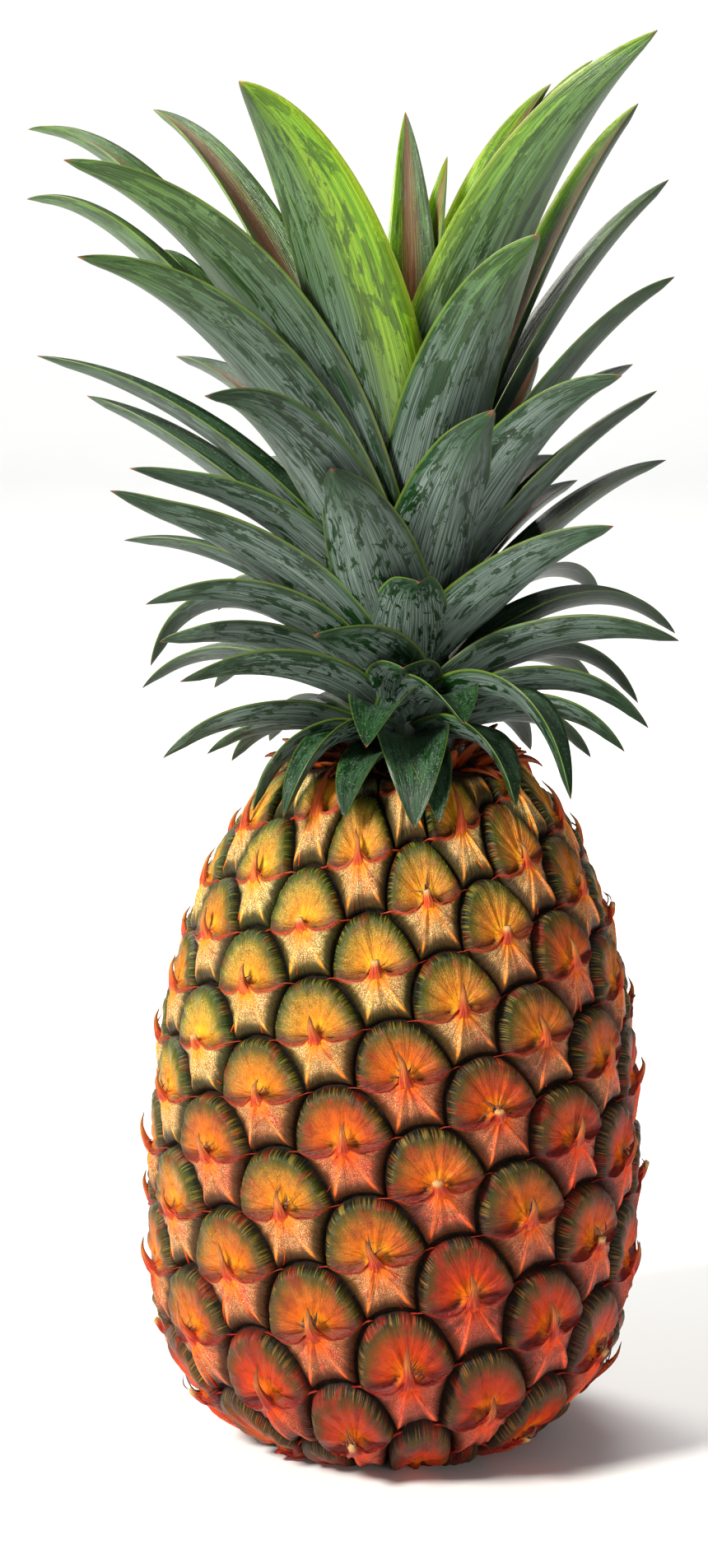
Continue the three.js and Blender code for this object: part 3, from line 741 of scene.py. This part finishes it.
collar = {
    "count": 48, "turn": 137.5, "radius": (27, 15), "foot": 179, "length": (8, 14), "width": 5.5,
    "levels": 9, "across": 5, "pitch": (0.15, 0.7), "curl": (0.2, 1.2), "sway": (-0.15, 0.15), "thick": 0.5,
    "cup": 0.5, "edge": 0.04, "shortBelow": -0.86, "short": 0.25,
}


def buildCollar():
    tubes = TubeSet()
    x = np.linspace(-1, 1, collar["across"])
    both = np.concatenate([x, x[::-1]])
    under = np.where(np.arange(len(both)) < len(x), 0, collar["thick"])
    for i in range(collar["count"]):
        share = i / collar["count"]
        a = math.radians(i * collar["turn"])
        radius = collar["radius"][0] + (collar["radius"][1] - collar["radius"][0]) * share
        length = draw(collar["length"])
        length *= collar["short"] if math.sin(a) < collar["shortBelow"] else 1
        pitch = draw(collar["pitch"]) + 0.5 * share
        t = np.linspace(0, 1, collar["levels"])
        bend = pitch - draw(collar["curl"]) * t
        r = radius + length * np.cumsum(np.cos(bend)) / len(t)
        z = collar["foot"] + length * np.cumsum(np.sin(bend)) / len(t)
        half = collar["width"] / 2 * (1 - t) ** 0.8 * (1 + 0.6 * t) + collar["edge"]
        lift = np.abs(both) ** 1.5 * half[:, None] * collar["cup"] - under
        swing = a + draw(collar["sway"]) * t
        wide = half[:, None] * both
        rr, zz = r[:, None] - lift * 0.3, z[:, None] + lift
        rows = np.stack([rr * np.cos(swing)[:, None] - wide * math.sin(a),
                         rr * np.sin(swing)[:, None] + wide * math.cos(a), zz], -1)
        # the collar counts as top, so the beak material paints it darker, as shade under the crown
        tubes.add(lean(rows), spread(wide.shape, t[:, None], both, 0.0), (rng.uniform(), 1, 0))
    return tubes


buildCollar().build("collar", "fruit_skin", None, beakMat)


# withered flowers: dry brown shreds left in the hollow over some beaks

shreds = {
    "share": 0.62, "count": (2, 5), "length": (2.4, 6.2), "thick": 0.42, "levels": 9, "sides": 5,
    "way": (0.3, 2.7), "swing": (-0.9, 0.9), "footAcross": (-0.9, 0.9), "footUp": (0.3, 1.6), "foot": 1.9,
    "arch": (0.8, 2.2), "taper": ([0, 0.3, 0.7, 1], [1.0, 1.15, 0.6, 0.08]),
}


def buildShreds():
    tubes = TubeSet()
    ring = np.arange(shreds["sides"]) / shreds["sides"] * 2 * np.pi
    for eye, height in eyesOnShow(6, 160):
        if rng.uniform() > shreds["share"]:
            continue
        for _ in range(rng.integers(*shreds["count"], endpoint=True)):
            seed = rng.uniform()
            way = draw(shreds["way"])
            length = draw(shreds["length"])
            s = np.linspace(0, 1, shreds["levels"])
            swing = way + draw(shreds["swing"]) * s
            u = draw(shreds["footAcross"]) + length * s * np.cos(swing)
            v = draw(shreds["footUp"]) + length * s * np.sin(swing)
            out = shreds["foot"] + draw(shreds["arch"]) * np.sin(np.pi * s ** 0.8) + 0.7 * s
            thick = shreds["thick"] * np.interp(s, *shreds["taper"])
            twist = ring + 3 * s[:, None] * rng.uniform(-1, 1)
            rows = fromBeak(eye, u[:, None] + thick[:, None] * np.cos(twist),
                            v[:, None] + 0.4 * thick[:, None] * np.sin(twist),
                            out[:, None] + 0.5 * thick[:, None] * np.sin(twist))
            tubes.addShown(rows, spread(twist.shape, s[:, None], twist, 0.0), (seed, 0, 0))
    return tubes


def shredMaterial():
    b = NodeBuilder("withered_flowers")
    s = b.parts(b.attribute("along"))[0]
    seed = b.parts(b.attribute("traits"))[0]
    grain = b.noise(b.place(), 1300, 4, 0.65)
    color = b.mix(b.step(seed, 0.4, 0.9), (52, 24, 22), (126, 78, 42))
    color = b.mix(b.times(b.step(grain, 0.48, 0.64), 0.6), color, (186, 120, 64))
    color = b.mix(b.times(b.step(s, 0.5, 1.0), 0.4), color, (44, 24, 20))
    return b.finish(Base_Color=color, Roughness=0.7, Normal=b.bump(grain, 0.0003, 0.8))


buildShreds().build("withered_flowers", "fruit_skin", None, shredMaterial())


# crown: the frame's leaves with smooth blades, two of them moved a little, and three more in front

crown = {
    "rootDepth": 0.45, "fullness": 0.85, "swell": 1.5, "widest": 1.09,
    "channelRoot": 0.42, "channelTip": 0.55, "thickRoot": 2.0, "thickTip": 1.1,
    "neck": 0.98, "neckEnd": 0.28, "steps": 44, "across": 11, "dryFrom": 0.972, "roll": 0.55,
    "rollEnd": 0.35, "hookFrom": 0.8, "end": 0.9985, "wave": 0.05, "edgeShare": 0.14,
    "limeFrom": 230, "limeTo": 246, "streakedFrom": 204,
    "stem": [(0, 176), (12.2, 176), (13.2, 180), (13.2, 188), (11.5, 204), (9, 222), (6.5, 240),
             (4, 256), (0, 264)],
}

# turn, root height, middle out and up, tip out and up, width, and what is a leaf's own: hook and
# sway, how far the tip bends up and sideways in mm; dry, where the dry tip starts; roll, the turn of the
# blade about its length; lime, how far a lime-green side spreads over it, the sign saying which side.
# The lime green is partly the young leaves' own pale colour and partly painted light shining through
# the lit side of a blade
leafTable = [
    (-72, 188, 25, 201, 46, 197, 22), (-103, 187, 24, 198, 44, 191, 20), (-92, 190, 18, 203, 30, 209, 21),
    (-87, 186, 29, 188, 45, 171, 20), (-130, 186, 30, 189, 47, 172, 15), (-150, 185, 30, 187, 44, 171, 13),
    (-110, 184, 30, 184, 44, 173, 13), (-79, 184, 29, 184, 44, 172, 13), (-54, 187, 33, 190, 47, 175, 14),
    (-47, 192, 40, 201, 60, 178, 17), (-163, 187, 39, 193, 64, 184, 12), (175, 187, 32, 189, 51, 181, 11),
    (-15, 188, 36, 195, 58, 185, 12), (18, 186, 33, 190, 52, 178, 13), (48, 186, 32, 190, 52, 176, 15),
    (76, 187, 33, 191, 54, 177, 16), (104, 186, 31, 189, 50, 174, 15), (131, 187, 33, 191, 54, 178, 15),
    (154, 186, 32, 188, 50, 176, 13), (-124, 194, 19, 209, 42, 218, 25, {"dry": 0.965, "roll": 0.2}),
    (-149, 192, 35, 206, 66, 206, 16), (165, 191, 43, 206, 71, 196, 13), (-8, 191, 38, 201, 63, 190, 13),
    (6, 193, 38, 208, 61, 194, 15), (36, 192, 37, 204, 64, 192, 16), (62, 193, 38, 206, 66, 196, 17),
    (91, 192, 36, 205, 63, 193, 17), (119, 193, 38, 207, 66, 197, 17), (143, 192, 37, 204, 63, 193, 16),
    (-88, 197, 17, 219, 34, 233, 22, {"hook": -2.5, "sway": 1.5}), (-160, 199, 38, 222, 70, 224, 15),
    (160, 197, 46, 219, 71, 201, 17), (-171, 197, 38, 212, 63, 211, 14, {"hook": 2}),
    (-15, 197, 39, 213, 71, 214, 16), (12, 198, 43, 220, 72, 211, 16), (44, 199, 42, 223, 73, 217, 18),
    (74, 198, 40, 221, 72, 214, 19), (107, 199, 41, 224, 74, 219, 19), (134, 198, 43, 220, 72, 212, 18),
    (38, 208, 29, 234, 57, 249, 16), (-35, 203, 31, 228, 61, 245, 20),
    (-160, 204, 41, 234, 80, 251, 18, {"hook": 2.5}), (172, 203, 41, 229, 74, 236, 13),
    (-165, 208, 35, 242, 73, 256, 16, {"hook": 2}), (15, 205, 40, 240, 69, 256, 14),
    (55, 206, 42, 241, 77, 252, 20), (88, 207, 39, 243, 76, 256, 21), (122, 206, 42, 241, 79, 251, 20),
    (50, 212, 32, 252, 53, 281, 17), (-66, 209, 21, 245, 43, 274, 26, {"sway": 3, "dry": 0.965}),
    (-115, 208, 26, 237, 46, 261, 25, {"hook": -1.5}), (-125, 214, 46, 262, 87, 280, 21),
    (-35, 213, 31, 259, 62, 282, 21), (5, 214, 33, 250, 63, 275, 17), (35, 215, 36, 256, 72, 279, 20),
    (70, 216, 38, 262, 82, 284, 23), (103, 215, 39, 261, 83, 282, 23), (138, 216, 42, 261, 84, 280, 20),
    (170, 218, 50, 262, 98, 283, 16), (163, 215, 50, 252, 88, 272, 16), (-155, 222, 45, 283, 91, 311, 23),
    (172, 222, 60, 300, 100, 323, 18), (2, 220, 36, 275, 66, 304, 18), (-60, 222, 24, 280, 58, 317, 26),
    (-160, 229, 45, 300, 92, 334, 25), (155, 228, 66, 314, 112, 340, 17),
    (-35, 228, 23, 307, 67, 365, 30, {"sway": 4, "dry": 0.98, "lime": -0.3}),
    (12, 228, 35, 290, 66, 328, 19), (25, 231, 37, 306, 63, 347, 17, {"lime": 0.6}),
    (80, 226, 34, 282, 82, 309, 23), (112, 229, 38, 285, 88, 312, 23),
    (-133, 236, 31, 311, 64, 353, 29, {"lime": 0.85}), (135, 236, 56, 312, 99, 345, 18),
    (150, 222, 52, 286, 76, 309, 14), (35, 238, 16, 309, 42, 352, 19, {"lime": 1.3}),
    (30, 241, 22, 316, 52, 358, 13), (100, 242, 6, 298, 17, 345, 16, {"lime": 0.9}),
    (60, 244, 6, 292, 16, 334, 12, {"lime": 1.7}), (55, 246, 10, 285, 24, 320, 10, {"lime": 1.7}),
    (-30, 246, 5, 272, 13, 298, 9, {"lime": 1.7}),
]


def stemRadius(height):
    line = crown["stem"][1:]
    return float(np.interp(height, [h for _, h in line], [r for r, _ in line]))


def bladeShare(t):
    neck = crown["neck"] + (1 - crown["neck"]) * np.minimum(1, t / crown["neckEnd"])
    return neck * (1 - t) ** crown["fullness"] * (1 + crown["swell"] * t) / crown["widest"]


def buildLeaf(turn, root, middle, tip, width, hook, sway, roll):
    # a closed blade: the upper face, then the lower face back the other way
    azimuth = math.radians(turn)
    out = np.array([math.cos(azimuth), math.sin(azimuth), 0])
    side = np.array([-math.sin(azimuth), math.cos(azimuth), 0])
    up = np.array([0, 0, 1.0])
    start = np.array([stemRadius(root) * crown["rootDepth"], root])
    end = np.array(tip, float)
    bend = 2 * np.array(middle, float) - (start + end) / 2
    t = (np.arange(crown["steps"] + 1) / crown["steps"]) ** 0.9
    t[-1] = crown["end"]
    at = ((1 - t) ** 2)[:, None] * start + (2 * t * (1 - t))[:, None] * bend + (t * t)[:, None] * end
    way = (2 * (1 - t))[:, None] * (bend - start) + (2 * t)[:, None] * (end - bend)
    way /= np.linalg.norm(way, axis=1)[:, None]
    inward = -way[:, 1:2] * out + way[:, 0:1] * up
    centre = at[:, 0:1] * out + at[:, 1:2] * up
    late = smooth(crown["hookFrom"], 1.08, t)[:, None]
    centre = centre + late * (hook * inward + sway * side)
    rolled = roll * smooth(0, crown["rollEnd"], t)[:, None]
    c, s = np.cos(rolled), np.sin(rolled)
    inward, side = inward * c - side * s, side * c + inward * s
    half = width / 2 * bladeShare(t)
    channel = half * (crown["channelRoot"] + (crown["channelTip"] - crown["channelRoot"]) * t)
    thick = crown["thickRoot"] + (crown["thickTip"] - crown["thickRoot"]) * t
    thick = np.minimum(thick, 0.55 * half + 0.05)
    n = crown["across"]
    x = np.linspace(-1, 1, n)
    wave = crown["wave"] * np.sin(9 * t + turn)[:, None] * np.abs(x) ** 3 * np.sign(x + 1e-9)
    rise = np.abs(x) ** 1.5 + wave
    top = channel[:, None] * rise
    depth = thick[:, None] * (crown["edgeShare"] + (1 - crown["edgeShare"]) * (1 - x * x) ** 0.8)
    across = half[:, None] * x
    lift = np.concatenate([top, (top - depth)[:, ::-1]], 1)
    wide = np.concatenate([across, across[:, ::-1]], 1)
    points = centre[:, None] + wide[..., None] * side[:, None] + lift[..., None] * inward[:, None]
    upper = np.concatenate([np.ones(n), np.zeros(n)])
    return points, spread(wide.shape, t[:, None], np.concatenate([x, x[::-1]]), upper)


def buildCrown():
    tubes = TubeSet()
    for turn, root, midOut, midUp, tipOut, tipUp, width, *own in leafTable:
        own = own[0] if own else {}
        azimuth = math.radians(turn)
        roll = -crown["roll"] * math.cos(azimuth) * float(smooth(0.2, -0.2, math.sin(azimuth)))
        blade, frames = buildLeaf(turn, root, (midOut, midUp), (tipOut, tipUp), width,
                                  own.get("hook", 0), own.get("sway", 0), own.get("roll", roll))
        lime = own.get("lime", float(smooth(crown["limeFrom"], crown["limeTo"], root)))
        streaked = rng.uniform() * (0.5 if root < crown["streakedFrom"] else 1)
        tubes.add(lean(blade), frames, (streaked, lime, own.get("dry", crown["dryFrom"])))
    return tubes


def leafMaterial():
    b = NodeBuilder("crown_leaf")
    t, across, upper = b.parts(b.attribute("along"))
    seed, lime, dryFrom = b.parts(b.attribute("traits"))
    place = b.place()
    apart = b.times(seed, 83)
    wide = b.math("ABSOLUTE", across)
    x, y, high = b.parts(place)
    # the leaves are painted duller and darker towards the back right, after the shade in the photograph
    frontLeft = b.step(b.math("ADD", x, y), 0.064, 0.026, 0.1, 1.0)
    streak = b.noise(b.vector(b.times(across, 22), b.times(t, 2.2), apart), 1.0, 4, 0.6)
    fine = b.noise(b.vector(b.times(across, 70), b.times(t, 4), apart), 1.0, 2, 0.6)
    rub = b.noise(b.vector(b.times(across, 3.4), b.times(t, 7), apart), 1.3, 8, 0.72, 0.6)
    speck = b.noise(place, 1800, 2, 0.6)

    lines = b.step(streak, 0.36, 0.64)
    green = b.mix(lines, (6, 36, 10), (26, 78, 22))
    topGreen = b.mix(lines, (40, 84, 14), (98, 136, 36))
    green = b.mix(b.step(high, 0.27, 0.335, 0.0, 0.8), green, topGreen)
    # lime green: partly the young leaves' own pale colour, partly painted light shining through the lit side
    # of the blade
    limeGreen = b.mix(lines, (96, 138, 12), (142, 170, 36))
    limeLevel = b.math("ABSOLUTE", lime)
    limeSide = b.fit(across, b.math("SIGN", lime), limeLevel)
    limeShare = b.times(b.math("MULTIPLY", limeLevel, 2.0, clamp=True),
                       b.times(b.step(t, 0.0, 0.5, 0.5, 1.0), b.step(limeSide, 0.75, 1.45)))
    green = b.mix(limeShare, green, limeGreen)
    bloom = b.mix(b.step(fine, 0.36, 0.64), (32, 50, 44), (116, 132, 122))
    under = b.math("SUBTRACT", 1.0, upper)
    worn = b.fit(wide, 0.05, b.fit(t, 0.09, rub))
    placeShare = b.times(b.step(high, 0.33, 0.25, 0.36, 1.0), frontLeft)
    bloomShare = b.times(b.step(worn, 0.608, 0.6), b.fit(under, 0.66, 0.22),
                         b.fit(limeShare, -0.9, placeShare))
    bloomShare = b.times(bloomShare, b.times(b.step(wide, 1.0, 0.8), b.step(t, 1.0, 0.6)))
    green = b.mix(b.times(b.step(worn, 0.6, 0.608), 0.6), green, (3, 26, 6))
    color = b.mix(bloomShare, green, bloom)
    dots = b.times(b.step(speck, 0.6, 0.66), b.times(upper, 0.35))
    color = b.mix(dots, color, (150, 166, 140))
    stripe = b.times(upper, b.step(b.math("ADD", wide, streak), 1.05, 0.6), b.step(seed, 0.5, 0.62))
    color = b.mix(b.times(stripe, 0.75), color, (118, 50, 26))
    margin = b.step(wide, 0.94, 0.99)
    color = b.mix(b.times(margin, 0.6), color, (104, 122, 40))
    dry = b.step(b.math("ADD", t, b.fit(streak, 0.03, -0.015)), dryFrom,
                 b.math("ADD", dryFrom, 0.025))
    color = b.mix(b.times(dry, 0.9), color, b.mix(lines, (80, 44, 20), (142, 92, 44)))
    color = b.mix(b.fit(frontLeft, -0.5, 0.5), color, (10, 26, 12))
    # painted shade: the leaves darken towards their roots, where they crowd round the stem
    root = b.step(t, 0.24, 0.04)
    color = b.mix(b.times(root, 0.72), color, (16, 32, 12))

    rough = b.fit(speck, 0.12, b.fit(bloomShare, 0.4, 0.26))
    normal = b.bump(streak, 0.0005, 0.6)
    normal = b.bump(fine, 0.00018, 0.6, normal)
    glow = b.times(limeShare, 0.4)
    return b.finish(Base_Color=color, Roughness=rough, Normal=normal, Subsurface_Weight=glow,
                    Subsurface_Radius=(1.0, 1.6, 0.3), Subsurface_Scale=0.003)


def buildCrownStem():
    # the short axis that the leaves grow from
    tubes = TubeSet()
    angle = np.linspace(0, 2 * np.pi, 48, endpoint=False)
    line = np.array(crown["stem"][1:-1] + [(0.2, crown["stem"][-1][1])])
    ripple = 1 + 0.03 * np.cos(9 * angle)[None] * np.sin(line[:, 1] * 0.4)[:, None]
    wide = np.minimum(line[:, 0:1] * ripple, line[:, 0:1])
    rows = spread(wide.shape, wide * np.cos(angle), wide * np.sin(angle), line[:, 1:2])
    # the stem reads as the root of a leaf, so the leaf material paints it dark green, as shade among the leaf
    # bases
    frames = spread(wide.shape, 0.0, (angle / np.pi - 1) * 0.8, 1.0)
    tubes.add(lean(rows), frames, (0.2, 0, crown["dryFrom"]))
    return tubes


leafMat = leafMaterial()
buildCrown().build("crown_leaves", "crown_leaf", "crown", leafMat)
buildCrownStem().build("crown_stem", "crown_leaf", None, leafMat)


# cut stem: the dry fibrous stub in the underside

stub = {"radius": 12.5, "rim": 0.6, "height": 13, "sides": 96}


def buildStub():
    tubes = TubeSet()
    angle = np.linspace(0, 2 * np.pi, stub["sides"], endpoint=False)
    full, rim, high = stub["radius"], stub["rim"], stub["height"]
    line = np.array([(0.3, 0.35), (4, 0.15), (8, 0.05), (full - rim, 0), (full, rim), (full, high / 2),
                     (full, high), (full / 2, high), (0.3, high)])
    fibres = rng.uniform(size=stub["sides"])
    wide = line[:, 0:1] * (1 - 0.02 * fibres[None])
    rows = spread(wide.shape, wide * np.cos(angle), wide * np.sin(angle), line[:, 1:2])
    tubes.add(rows, np.zeros_like(rows), (0, 0, 0))
    return tubes


def stubMaterial():
    b = NodeBuilder("stalk_fibre")
    x, y, z = b.parts(b.place())
    ends = b.noise(b.vector(x, y, 0.0), 900, 3, 0.6)
    fibre = b.noise(b.vector(b.times(x, 600), b.times(y, 600), b.times(z, 30)), 1.0, 4, 0.6)
    color = b.mix(ends, (112, 78, 40), (206, 172, 112))
    color = b.mix(b.times(b.step(fibre, 0.5, 0.38), 0.6), color, (84, 56, 30))
    return b.finish(Base_Color=color, Roughness=0.8, Normal=b.bump(fibre, 0.0004, 0.8))


buildStub().build("stem_stub", "stalk_fibre", "cut_stem", stubMaterial())


# stage, light and camera

stage = {"front": -2.9, "back": 2.9, "half": 2.9, "top": 1.6, "bend": 0.5, "bendSteps": 12}
view = {"elevation": 10.5, "distance": 1.0, "target": (0, 0, 0.185), "lens": 89.0, "right": -0.0091,
        "rise": -0.0109}
lights = [
    ("key", (-0.85, -0.7, 0.95), 0.34, 35, (1.0, 0.97, 0.92), (0, 0, 0.19)),
    ("fill", (0.7, -1.2, 0.1), 0.8, 7, (1.0, 0.96, 0.92), (0, 0, 0.19)),
    ("back", (-0.5, 0.8, 0.9), 0.5, 8, (1.0, 0.98, 0.9), (0, 0, 0.19)),
    ("backdrop", (0, 0.9, 2.1), 1.2, 48, (1.0, 1.0, 1.0), (0, 2.4, 0.1)),
]


def buildStage():
    # a level floor that bends up into a wall behind
    bend = stage["bend"]
    line = [(stage["front"], 0.0)]
    for i in range(stage["bendSteps"] + 1):
        a = i / stage["bendSteps"] * math.pi / 2
        line.append((stage["back"] - bend + bend * math.sin(a), bend * (1 - math.cos(a))))
    line.append((stage["back"], stage["top"]))
    verts = [(x, y, z) for y, z in line for x in (-stage["half"], stage["half"])]
    faces = [(2 * i, 2 * i + 1, 2 * i + 3, 2 * i + 2) for i in range(len(line) - 1)]
    mesh = bpy.data.meshes.new("studio_floor")
    mesh.from_pydata(verts, [], faces)
    shadeSmooth(mesh)
    b = NodeBuilder("studio_paper")
    shade = b.noise(b.place(), 3, 2)
    mesh.materials.append(b.finish(Base_Color=b.mix(shade, (236, 236, 234), (242, 242, 240)),
                                   Roughness=0.9))
    addObject("studio_floor", mesh)


def addLight(name, place, size, power, color, target):
    data = bpy.data.lights.new(name, "AREA")
    data.shape = "DISK"
    data.size = size
    data.energy = power
    data.color = color
    light = addObject(name, data)
    light.location = place
    aim = Vector(target) - Vector(place)
    light.rotation_euler = aim.to_track_quat("-Z", "Y").to_euler()


def addCamera():
    e = math.radians(view["elevation"])
    away = Vector((0, -math.cos(e), math.sin(e)))
    upward = Vector((0, math.sin(e), math.cos(e)))
    moved = Vector((view["right"], 0, 0)) + upward * view["rise"]
    data = bpy.data.cameras.new("camera")
    data.sensor_width = 36
    data.sensor_fit = "AUTO"
    data.lens = view["lens"]
    camera = addObject("camera", data)
    camera.location = Vector(view["target"]) + away * view["distance"] + moved
    camera.rotation_euler = (math.pi / 2 - e, 0, 0)
    bpy.context.scene.camera = camera


buildStage()
for light in lights:
    addLight(*light)
world = bpy.data.worlds.new("studio")
world.use_nodes = True
sky = world.node_tree.nodes["Background"].inputs
sky["Color"].default_value = (0.9, 0.94, 1.0, 1)
sky["Strength"].default_value = 0.22
bpy.context.scene.world = world
bpy.context.scene.view_settings.view_transform = "Standard"
addCamera()
print("stage, lights and camera set")
